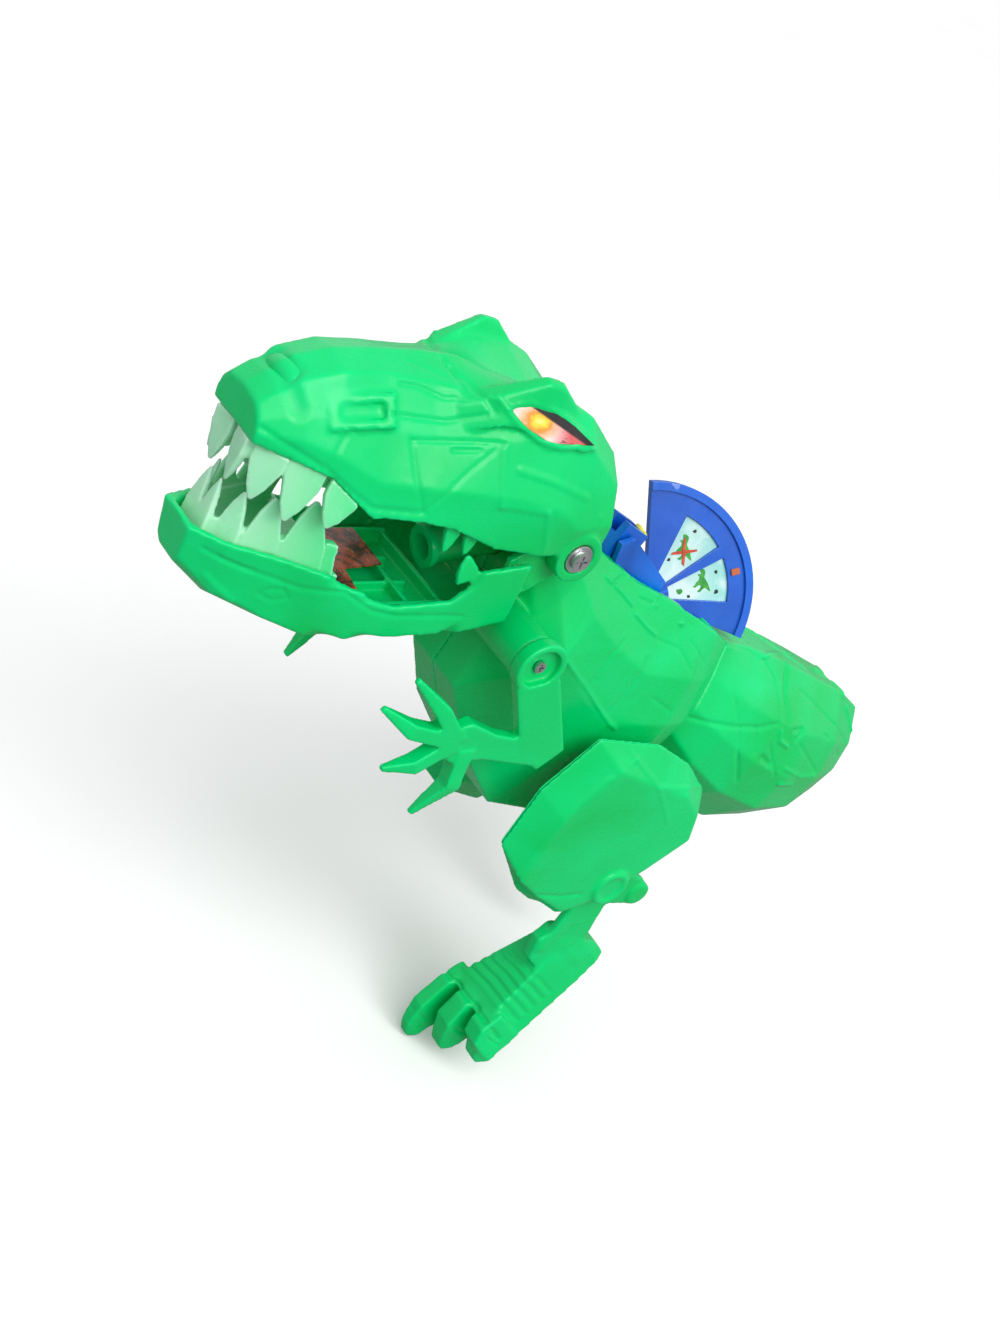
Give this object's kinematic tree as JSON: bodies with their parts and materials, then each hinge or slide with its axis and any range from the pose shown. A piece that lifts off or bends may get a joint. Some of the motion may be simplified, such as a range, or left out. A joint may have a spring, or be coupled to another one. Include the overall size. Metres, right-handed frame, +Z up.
{
  "type": "bubble machine",
  "caption": "Hand-held bubble machine shaped as a faceted green dinosaur with an open, hinged mouth, jointed arms and legs, a swivelling tail and a blue sector dial on its back.",
  "frame": {"origin": "centre of the bounding box's bottom face, in the pose of the picture; mid-plane of the toy in X", "axes": "the toy faces -Y, its left side is +X, +Z is up"},
  "size_m": [0.106, 0.38, 0.3196],
  "materials": {
    "green_plastic": "emerald green injection-moulded plastic, glossy, slightly translucent",
    "tooth_plastic": "pale green translucent plastic, glossy",
    "blue_plastic": "mid blue plastic, satin gloss",
    "yellow_plastic": "yellow plastic",
    "orange_plastic": "orange-brown plastic",
    "black_plastic": "black plastic, fine matt",
    "white_plastic": "natural white plastic",
    "window_film": "pale teal printed film",
    "eye_print": "glossy printed label",
    "card_print": "red-brown printed card",
    "steel": "nickel-plated steel",
    "motor_can": "zinc-plated steel can",
    "spring_metal": "plated spring steel",
    "board": "green circuit board",
    "cell_wrap": "plain battery wrap",
    "rubber": "translucent silicone rubber"
  },
  "bodies": {
    "torso": {"torso_left_shell": "green_plastic", "torso_right_shell": "green_plastic", "frame_screws": "steel", "inner_frame": "white_plastic", "bubble_nozzle": "green_plastic", "fan_housing": "black_plastic", "fan_motor": "motor_can", "air_duct": "green_plastic", "pump_body": "black_plastic", "pump_motor": "motor_can", "solution_tank": "white_plastic", "tank_plug": "rubber", "supply_hose": "rubber", "film_hose": "rubber", "circuit_board": "board", "speaker": "black_plastic", "switch_body": "black_plastic", "battery_box": "black_plastic", "batteries": "cell_wrap", "battery_contacts": "spring_metal", "battery_door": "green_plastic", "battery_door_screw": "steel", "hinge_screws": "steel", "hinge_washers": "steel", "arm_screws": "steel", "hip_axle": "steel", "tail_pivot": "white_plastic", "dial_pin": "blue_plastic", "dial_cradle": "blue_plastic", "stop_pin": "yellow_plastic"},
    "head": {"head_shell": "green_plastic", "palate_plate": "green_plastic", "upper_teeth": "tooth_plastic", "eye_labels": "eye_print"},
    "jaw": {"jaw_shell": "green_plastic", "lower_teeth": "tooth_plastic", "drip_tray": "green_plastic", "mouth_label": "card_print"},
    "left_arm": {"left_arm": "green_plastic"},
    "right_arm": {"right_arm": "green_plastic"},
    "left_thigh": {"left_thigh_outer": "green_plastic", "left_thigh_inner": "green_plastic", "left_knee_pin": "steel"},
    "left_shin": {"left_shin_and_foot": "green_plastic"},
    "right_thigh": {"right_thigh_outer": "green_plastic", "right_thigh_inner": "green_plastic", "right_knee_pin": "steel"},
    "right_shin": {"right_shin_and_foot": "green_plastic"},
    "tail": {"tail_shell": "green_plastic"},
    "dial": {"dial_frame": "blue_plastic", "dial_windows": "window_film", "dial_index": "orange_plastic"},
    "fan": {"fan_impeller": "white_plastic"},
    "pump": {"pump_rotor": "white_plastic"},
    "slider": {"power_slider": "yellow_plastic"}
  },
  "joints": [
    {"name": "head_pitch", "type": "hinge", "parent": "torso", "child": "head", "pos_m": [0, -0.06, 0.26165], "axis": [1, 0, 0], "range_deg": [-10, 0]},
    {"name": "jaw_open", "type": "hinge", "parent": "torso", "child": "jaw", "pos_m": [0, -0.06, 0.26165], "axis": [1, 0, 0], "range_deg": [0, 6]},
    {"name": "left_shoulder", "type": "hinge", "parent": "torso", "child": "left_arm", "pos_m": [0, -0.066, 0.22465], "axis": [1, 0, 0], "range_deg": [-75, 28]},
    {"name": "right_shoulder", "type": "hinge", "parent": "torso", "child": "right_arm", "pos_m": [0, -0.066, 0.22465], "axis": [1, 0, 0], "range_deg": [-67, 36]},
    {"name": "left_hip", "type": "hinge", "parent": "torso", "child": "left_thigh", "pos_m": [0, 0.026, 0.14565], "axis": [1, 0, 0], "range_deg": [-40, 40]},
    {"name": "left_knee", "type": "hinge", "parent": "left_thigh", "child": "left_shin", "pos_m": [0, 0.02, 0.11165], "axis": [1, 0, 0], "range_deg": [-38, 8]},
    {"name": "right_hip", "type": "hinge", "parent": "torso", "child": "right_thigh", "pos_m": [0, 0.026, 0.14565], "axis": [1, 0, 0], "range_deg": [-118, 0]},
    {"name": "right_knee", "type": "hinge", "parent": "right_thigh", "child": "right_shin", "pos_m": [0, 0.05919, 0.13613], "axis": [1, 0, 0], "range_deg": [-2, 14]},
    {"name": "tail_swivel", "type": "hinge", "parent": "torso", "child": "tail", "pos_m": [0, 0.0465, 0.18265], "axis": [0, 0.8624, -0.5062], "range_deg": [-8, 8]},
    {"name": "dial_turn", "type": "hinge", "parent": "torso", "child": "dial", "pos_m": [-0.0062, 0.0266, 0.21405], "axis": [0.883, -0.3214, 0.342], "range_deg": [0, 14]},
    {"name": "fan_spin", "type": "hinge", "parent": "torso", "child": "fan", "pos_m": [0, -0.03, 0.19765], "axis": [1, 0, 0], "continuous": true},
    {"name": "pump_spin", "type": "hinge", "parent": "torso", "child": "pump", "pos_m": [0, 0.024, 0.17765], "axis": [1, 0, 0], "continuous": true},
    {"name": "power_slide", "type": "slide", "parent": "torso", "child": "slider", "axis": [0, 1, 0], "range_m": [0, 0.004]}
  ]
}
